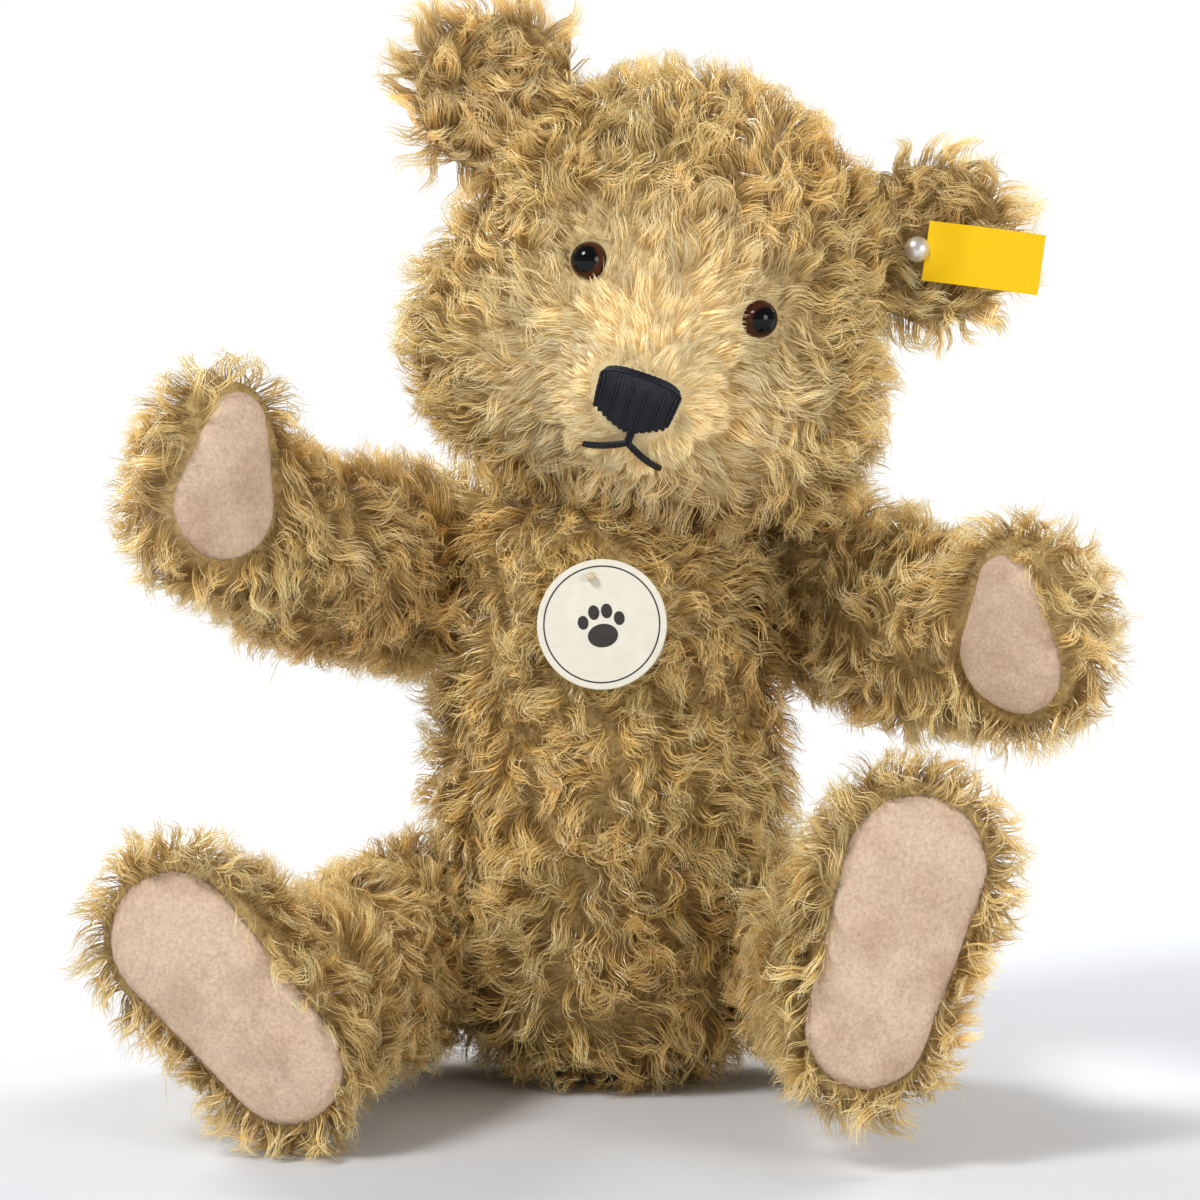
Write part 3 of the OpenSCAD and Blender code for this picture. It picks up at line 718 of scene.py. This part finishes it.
def torso_comb(p, n):
    down = np.tile([0.0, 0, -1], (len(p), 1))
    return down + 0.12 * unit(p * [1, 1, 0])


def torso_after(points):
    points = press(points, CARD_FACE, lambda q: np.linalg.norm(q[:, :2], axis=1) - 16.5, -0.8)
    return points, np.ones(len(points), bool)


grow("torso", "torso", torso_comb, even(13.0), torso_keep, 11, 1.0, after=torso_after)


def from_nose(p):
    return np.linalg.norm(p - nose_tip, axis=1)


def eye_gap(p):
    gap = np.full(len(p), 99.0)
    for m in EYES.values():
        q = into(m, p)
        gap = np.minimum(gap, np.where(q[:, 1] < 12, np.linalg.norm(q[:, [0, 2]], axis=1), 99))
    return gap


def head_length(p):
    base = 4.4 + 7.4 * ease(from_nose(p), 18, 56)
    return base * (0.5 + 0.5 * ease(eye_gap(p), 5, 13))


def nose_shape(q):
    """Distance from the nose's outline, in its own plane."""
    side = np.abs(q[:, 0] + 0.5) / 9.3
    return np.maximum(9.3 * side - 9.3, np.maximum(q[:, 2] - 3.8, -9.6 + 3.4 * side**1.5 - q[:, 2]))


def mouth_gap(p):
    q = into(HEAD, p) - [0.8, 0, MUZZLE_Z - 5]
    x = np.abs(q[:, 0])
    droop = math.radians(27)
    along = np.clip(x * math.cos(droop) - (q[:, 2] + 3.6) * math.sin(droop), 0, 10)
    dx, dz = x - along * math.cos(droop), q[:, 2] + 3.6 + along * math.sin(droop)
    return np.where(q[:, 1] < -45, np.hypot(dx, dz), 99)


def head_keep(p, n):
    q = into(NOSE, p)
    on_nose = (nose_shape(q) < 0.4) & (q[:, 1] < 8)
    return (into(NECK, p)[:, 0] > 1.2) & (eye_gap(p) > 4.9) & ~on_nose & (mouth_gap(p) > 1.0)


def head_comb(p, n):
    return unit(p - nose_tip) + 0.25 * unit(p - HEAD[:3, 3])


def head_wild(p):
    return 0.22 + 0.76 * ease(from_nose(p), 24, 58)


def head_pale(p):
    return 1 - ease(from_nose(p), 24, 58)


def head_after(points):
    flat = points.reshape(-1, 3)
    q = into(NOSE, flat)
    front = (nose_shape(q) < -0.6) & (q[:, 1] < 4)
    eyes = np.zeros(len(flat), bool)
    for m in EYES.values():
        e = into(m, flat)
        eyes |= (np.linalg.norm(e[:, [0, 2]], axis=1) < 4.1) & (e[:, 1] < -0.5)
    bad = (front | eyes | (mouth_gap(flat) < 0.35)).reshape(points.shape[:2])
    return points, ~bad.any(1)


def ragged(p):
    """Distance from the nose, with the border between the two kinds of hair broken up."""
    return from_nose(p) + 5 * np.sin(p @ np.array([1.9, 2.3, 2.9]))


def muzzle_keep(p, n):
    return head_keep(p, n) & (ragged(p) < 40)


def skull_keep(p, n):
    return head_keep(p, n) & (ragged(p) >= 36)


grow("head", "head", head_comb, head_length, skull_keep, 23, head_wild, head_pale, head_after)
grow("head", "head", head_comb, head_length, muzzle_keep, 29, head_wild, head_pale, head_after, 2.1, 0.72, "_muzzle")


for s in SIDES:
    ear_m = EARS[s]

    def ear_keep(p, n, s=s):
        good = np.linalg.norm(p - HEAD[:3, 3], axis=1) > 46.5
        if s == "left":
            q = into(RIVET, p)
            good &= ~((np.linalg.norm(q[:, :2], axis=1) < 3.2) & (np.abs(q[:, 2]) < 16))
        return good

    def ear_length(p, m=ear_m):
        n_out = unit(slope(FIELDS["left_ear" if m is EARS["left"] else "right_ear"][0], p)) @ m[:3, :3]
        return 14.5 - 4.0 * np.clip(-n_out[:, 1], 0, 1)

    def ear_comb(p, n, m=ear_m):
        return unit(p - out(m, [[0, 2, -24]])[0])

    def ear_after(points, s=s):
        if s == "left":
            points = press(points, LABEL, label_shape, -0.3, label_lift)
            points = press(points, RIVET, lambda q: np.linalg.norm(q[:, :2], axis=1) - 3.6, -0.3)
        return points, np.ones(len(points), bool)

    grow(s + "_ear", "head", ear_comb, ear_length, ear_keep, 31 + len(s), 0.9, even(0.3), ear_after, 1.7)


def limb_fur(name, joint, face, outline, seed, length, level):
    def keep(p, n):
        q = into(joint, p)
        near, up = beside(face, outline, p, 0)
        return ~((q[:, 0] < 1.6) & (np.linalg.norm(q[:, 1:], axis=1) < 22)) & ~((up > level - 0.8) & (near < 0.1))

    def comb(p, n):
        q = into(face, p)
        centre = np.clip(q[:, 1], outline[0][0][1], outline[1][0][1])
        radial = q * [1, 1, 0] - np.stack([0 * centre, centre, 0 * centre], 1)
        pull = ease(q[:, 2], -30, -2)[:, None]
        along = -joint[:3, 1]
        return along * (1 - 0.35 * pull) + 0.4 * pull * (unit(radial) @ face[:3, :3].T) + 0.2 * np.array([0, 0, -1])

    def after(points):
        flat = points.reshape(-1, 3)
        near, up = beside(face, outline, flat, 0)
        bad = ((near < -0.8) & (up > level - 0.5)).reshape(points.shape[:2])
        return points, ~bad.any(1)

    grow(name, name, comb, even(length), keep, seed, 0.95, even(0.18), after, 1.15)


for s, seed in (("left", 41), ("right", 57)):
    limb_fur(s + "_arm", ARMS[s], PAW_FACES[s], PAW_OUTLINE, seed, 12.8, -1.5)
    limb_fur(s + "_leg", LEGS[s], SOLES[s], SOLE_OUTLINE, seed + 5, 12.8, -2)


# ---- felt pads -----------------------------------------------------------------
def pad(name, body, m, outline, crown, edge, node, seed):
    """A felt pad, stuffed full, whose rim turns down into the seam."""
    around, rings = 168, 22
    a = np.linspace(0, FULL_TURN, 4 * around, endpoint=False) - math.pi / 2
    u = np.stack([np.cos(a), np.sin(a)], 1)
    reach = np.stack([u @ np.array(c) + r for c, r in outline], 1)
    pick = reach.argmax(1)
    rim = np.array([c for c, _ in outline], float)[pick] + np.array([r for _, r in outline])[pick][:, None] * u
    rim = np.concatenate([rim, rim[:1]])
    s = np.concatenate([[0], np.cumsum(np.linalg.norm(np.diff(rim, axis=0), axis=1))])
    even = np.linspace(0, s[-1], around, endpoint=False)
    rim = np.stack([np.interp(even, s, rim[:, i]) for i in (0, 1)], 1)
    spine_y = np.clip(rim[:, 1], outline[0][0][1], outline[1][0][1])
    spine = np.stack([0 * spine_y, spine_y], 1)
    pucker = 0.25 * np.sin(even / s[-1] * FULL_TURN * 46) + 0.2 * np.sin(even / s[-1] * FULL_TURN * 17 + seed)
    points = []
    for i in range(rings + 1):
        f = i / rings
        flat = spine + (rim - spine) * (f + 0.012)
        z = edge + crown * (1 - f**2.6) - 1.5 * ease(f, 0.86, 1.0) ** 2 + pucker * ease(f, 0.8, 1) * 0.5
        points.append(np.column_stack([flat, z]))
    for shrink, drop in ((0.99, 1.4), (0.93, 2.0)):
        points.append(np.column_stack([spine + (rim - spine) * shrink, np.full(around, edge - drop)]))
    points = np.concatenate(points)
    top = points[:, 2] > edge - 1.3
    plan = points[top] * [1, 1, 0]
    points[top, 2] += 0.22 * noise(plan, 17, seed) + 0.07 * noise(plan, 5, seed + 1)
    levels = rings + 3
    faces = [
        (i * around + j, (i + 1) * around + j, (i + 1) * around + (j + 1) % around, i * around + (j + 1) % around)
        for i in range(levels - 1)
        for j in range(around)
    ]
    last = (levels - 1) * around
    for j in range(around // 2):
        k, n = (around - j) % around, around - j - 1
        faces.append((k, j, j + 1, n) if 0 < j < around // 2 - 1 else (0, 1, n) if j == 0 else (k, j, j + 1))
    faces.append(tuple(range(last, last + around))[::-1])
    o = mesh_object(name, out(m, points), [f[::-1] for f in faces] if np.linalg.det(m) < 0 else faces)
    dress(o, body, FELT, [node])
    return o


for s, seed in (("left", 3), ("right", 9)):
    pad(s + "_paw_felt", s + "_arm", PAW_FACES[s], PAW_OUTLINE, 1.9, -1.0, s + "_paw_pad", seed)
    pad(s + "_sole_felt", s + "_leg", SOLES[s], SOLE_OUTLINE, 2.4, -1.2, s + "_foot_pad", seed + 2)


# ---- face ------------------------------------------------------------------------
def on_muzzle(frame_points, lift):
    """Moves points of the nose's frame along its Y until they lie on the muzzle's ball, lifted by lift."""
    c = into(NOSE, out(HEAD, [MUZZLE_BALL]))[0]
    q = np.asarray(frame_points, float)
    flat2 = (q[:, 0] - c[0]) ** 2 + (q[:, 2] - c[2]) ** 2
    q[:, 1] = c[1] - np.sqrt(np.maximum((MUZZLE_R + lift) ** 2 - flat2, 1))
    return q


def nose():
    parts = []
    steps = np.linspace(0, 1, 44)
    for layer, count, lift, radius in ((0, 27, 0.1, 0.5), (1, 28, 0.5, 0.45)):
        for q in np.linspace(-1, 1, count):
            wobble = 0.12 * math.sin(17 * q + 3 * layer)
            top, bottom = 3.4 - 1.6 * abs(q) ** 6, -9.3 + 3.4 * abs(q) ** 1.5 + 0.35 * math.sin(40 * q)
            x = 9.2 * q - 0.9 * q * steps - 0.5 + wobble * np.sin(3 * steps)
            line = np.stack([x, 0 * steps, top + (bottom - top) * steps], 1)
            parts.append(tube(on_muzzle(line, lift), radius, ply=0.09))
    for z, half, lift in ((3.5, 8.6, 0.6), (2.9, 9.0, 0.7)):
        x = np.linspace(-half, half, 60)
        line = np.stack([x - 0.5, 0 * x, z - 1.2 * np.abs(x / half) ** 5], 1)
        parts.append(tube(on_muzzle(line, lift), 0.55, ply=0.09))
    points, faces = joined(parts)
    o = mesh_object("nose_threads", out(NOSE, points), faces)
    dress(o, "head", BLACK, ["nose_stitching"])


def mouth():
    c = np.array(MUZZLE_BALL)
    parts = []

    def lay(x, z, lift, radius):
        y = c[1] - np.sqrt(np.maximum((MUZZLE_R + lift) ** 2 - (x - c[0]) ** 2 - (z - c[2]) ** 2, 1))
        parts.append(tube(np.stack([x, y, z], 1), radius, ply=0.09))

    t = np.linspace(0, 1, 34)
    base = MUZZLE_Z - 8.6
    for dx in (-0.4, 0.4):
        lay(0.8 + dx + 0 * t, base + 0.2 + 4.2 * (1 - t), 0.25, 0.5)
        for side in (-1, 1):
            x = 0.8 + side * 9.2 * t
            lay(x, base + dx * 0.9 - 4.6 * t - 0.3 * np.sin(math.pi * t), 0.3, 0.5)
    points, faces = joined(parts)
    o = mesh_object("mouth_threads", out(HEAD, points), faces)
    dress(o, "head", BLACK, ["mouth_stitching"])


def eye(side):
    m = EYES[side] @ (MIRROR if side == "right" else np.eye(4))
    rings, around = 28, 56
    a = np.linspace(0, math.radians(112), rings)
    b = np.linspace(0, FULL_TURN, around, endpoint=False)
    points = [[0, -EYE_R, 0]]
    for x in a[1:]:
        wide, deep = EYE_R * math.sin(x), -EYE_R * math.cos(x)
        points += [[wide * math.cos(y), deep, wide * math.sin(y)] for y in b]
    faces = [(0, 1 + (j + 1) % around, 1 + j) for j in range(around)]
    for i in range(rings - 2):
        for j in range(around):
            k = 1 + i * around
            faces.append((k + j, k + (j + 1) % around, k + around + (j + 1) % around, k + around + j))
    faces.append(tuple(range(1 + (rings - 2) * around, 1 + (rings - 1) * around))[::-1])
    o = mesh_object(side + "_eye_dome", points, faces, at=m)
    dress(o, "head", GLASS, [side + "_eye_glass"])


nose()
mouth()
eye("left")
eye("right")


# ---- tag and label -----------------------------------------------------------------
def ring_between(inner, outer_, z):
    """A flat band between two closed lines of as many points."""
    n = len(inner)
    points = np.concatenate([np.column_stack([inner, np.full(n, z)]), np.column_stack([outer_, np.full(n, z)])])
    return points, [(i, n + i, n + (i + 1) % n, (i + 1) % n) for i in range(n)]


def circle(centre, rx, ry, count=96):
    a = np.linspace(0, FULL_TURN, count, endpoint=False)
    return np.column_stack([centre[0] + rx * np.cos(a), centre[1] + ry * np.sin(a)])


def tag():
    """Card disc with a punched hole, and a plain ring and paw print on it."""
    n, r, t = 144, 15.0, 0.8
    hole, edge = circle((-1, 11), 0.8, 0.8, n), circle((0, 0), r, r, n)
    soft = 0.15
    face_edge = circle((0, 0), r - soft, r - soft, n)
    levels = [(hole, 0.0), (face_edge, 0.0), (edge, soft), (edge, t - soft), (face_edge, t), (hole, t)]
    points = np.concatenate([np.column_stack([line, np.full(n, z)]) for line, z in levels])
    k = len(levels)
    faces = []
    for i in range(k):
        here, there = i * n, (i + 1) % k * n
        faces += [(here + j, there + j, there + (j + 1) % n, here + (j + 1) % n) for j in range(n)]
    o = mesh_object("chest_tag_card", out(CARD_FACE, points), [f[::-1] for f in faces], smooth=False)
    dress(o, "torso", CARD, ["chest_tag"])
    z = t + 0.04
    shapes = [ring_between(circle((0, 0), 13.2, 13.2), circle((0, 0), 13.55, 13.55), z)]
    toes = [((-4.2, 0.9), 1.25, 1.6), ((-1.5, 2.9), 1.3, 1.7), ((1.5, 2.9), 1.3, 1.7), ((4.2, 0.9), 1.25, 1.6)]
    for centre, rx, ry in [((0, -2.6), 3.5, 2.7), *toes]:
        shapes.append(ring_between(circle(centre, 0.01, 0.01), circle(centre, rx, ry), z))
    points, faces = joined(shapes)
    o = mesh_object("chest_tag_print", out(CARD_FACE, points), faces, smooth=False)
    dress(o, "torso", PRINT)


def label():
    """A plain woven ribbon, from the rivet's edge forward over the rim of the ear, without any text."""
    start, long_, wide, nx, ny = 2.0, 27.0, 14.0, 54, 28
    across = np.linspace(-wide / 2, wide / 2, ny + 1)
    x, y = np.meshgrid(np.linspace(start, start + long_, nx + 1), across, indexing="ij")
    wave = label_lift(x) + 0.2 * np.sin(x / 7.0) * np.cos(y / 5)
    top = np.stack([x, y, 0.75 + wave], -1).reshape(-1, 3)
    low = np.stack([x, y, 0.2 + wave], -1).reshape(-1, 3)
    n, w = (nx + 1) * (ny + 1), ny + 1
    faces = []
    for i in range(nx):
        for j in range(ny):
            a = i * w + j
            faces += [(a, a + w, a + w + 1, a + 1), (n + a, n + a + 1, n + a + w + 1, n + a + w)]
    for i in range(nx):
        for a, b in ((i * w, (i + 1) * w), ((i + 1) * w + ny, i * w + ny)):
            faces.append((a, n + a, n + b, b))
    for j in range(ny):
        for a, b in ((j + 1, j), (nx * w + j, nx * w + j + 1)):
            faces.append((a, n + a, n + b, b))
    o = mesh_object("ear_label_ribbon", np.concatenate([top, low]), faces, smooth=False, at=LABEL)
    dress(o, "head", LABEL_CLOTH, ["ear_label"])


tag()
label()

# ---- studio ------------------------------------------------------------------------
floor_mesh = bpy.data.meshes.new("floor")
floor_mesh.from_pydata([(-9, -9, 0), (9, -9, 0), (9, 9, 0), (-9, 9, 0)], [], [(0, 1, 2, 3)])
floor = bpy.data.objects.new("floor", floor_mesh)
scene.collection.objects.link(floor)
paper = Shader("floor", (0.70, 0.72, 0.76), 0.9, Specular_IOR_Level=0.0)
glow = paper.add("Emission", Strength=1.05)
away = paper.add("VectorMath", _0=paper.coords())
away.operation = "LENGTH"
far_off = paper.ramp(away.outputs["Value"], [(0.26, (0, 0, 0)), (0.75, (1, 1, 1))])
mixed = paper.add("MixShader", Fac=far_off, _1=paper.bsdf.outputs[0], _2=glow.outputs[0])
paper.tree.links.new(mixed.outputs[0], paper.tree.nodes["Material Output"].inputs["Surface"])
floor.data.materials.append(paper.material)

world = bpy.data.worlds.new("studio")
scene.world = world
world.use_nodes = True
tree = world.node_tree
backdrop = tree.nodes["Background"]
BACKDROP_STRENGTH, DOME_STRENGTH = 1.02, 0.27
backdrop.inputs[1].default_value = BACKDROP_STRENGTH
dome = tree.nodes.new("ShaderNodeBackground")
dome.inputs[1].default_value = DOME_STRENGTH
for node in (backdrop, dome):
    node.inputs[0].default_value = (1, 1, 1, 1)
seen = tree.nodes.new("ShaderNodeLightPath")
either = tree.nodes.new("ShaderNodeMixShader")
tree.links.new(seen.outputs["Is Camera Ray"], either.inputs[0])
tree.links.new(dome.outputs[0], either.inputs[1])
tree.links.new(backdrop.outputs[0], either.inputs[2])
tree.links.new(either.outputs[0], tree.nodes["World Output"].inputs["Surface"])


def lamp(name, at, size, power, color=(1, 1, 1), aim=(0, 0, 0.12)):
    data = bpy.data.lights.new(name, "AREA")
    data.shape, data.size, data.energy, data.color = "DISK", size, power, color
    o = bpy.data.objects.new(name, data)
    o.location = at
    o.rotation_mode = "QUATERNION"
    o.rotation_quaternion = (Vector(at) - Vector(aim)).to_track_quat("Z", "Y")
    scene.collection.objects.link(o)


RIM_WATTS = 13
lamp("key", (-0.85, -0.95, 1.35), 0.5, 20, (1, 0.985, 0.96))
lamp("fill", (1.1, -1.0, 0.45), 0.7, 8, (1, 0.98, 0.95))
lamp("rim_left", (-0.9, 0.8, 0.7), 0.5, RIM_WATTS)
lamp("rim_right", (0.9, 0.85, 0.75), 0.5, RIM_WATTS)

CAMERA_DISTANCE = 1.15
camera = bpy.data.objects.new("camera", bpy.data.cameras.new("camera"))
camera.data.lens, camera.data.sensor_width = 147.3, 36
azimuth, elevation, aim = math.radians(6.5), math.radians(5), Vector((0, -0.020, 0.1157))
back = Vector((math.sin(azimuth) * math.cos(elevation), -math.cos(azimuth) * math.cos(elevation), math.sin(elevation)))
camera.location = aim + CAMERA_DISTANCE * back
camera.rotation_mode = "QUATERNION"
camera.rotation_quaternion = back.to_track_quat("Z", "Y")
scene.collection.objects.link(camera)
scene.camera = camera
scene.view_settings.view_transform = "Standard"
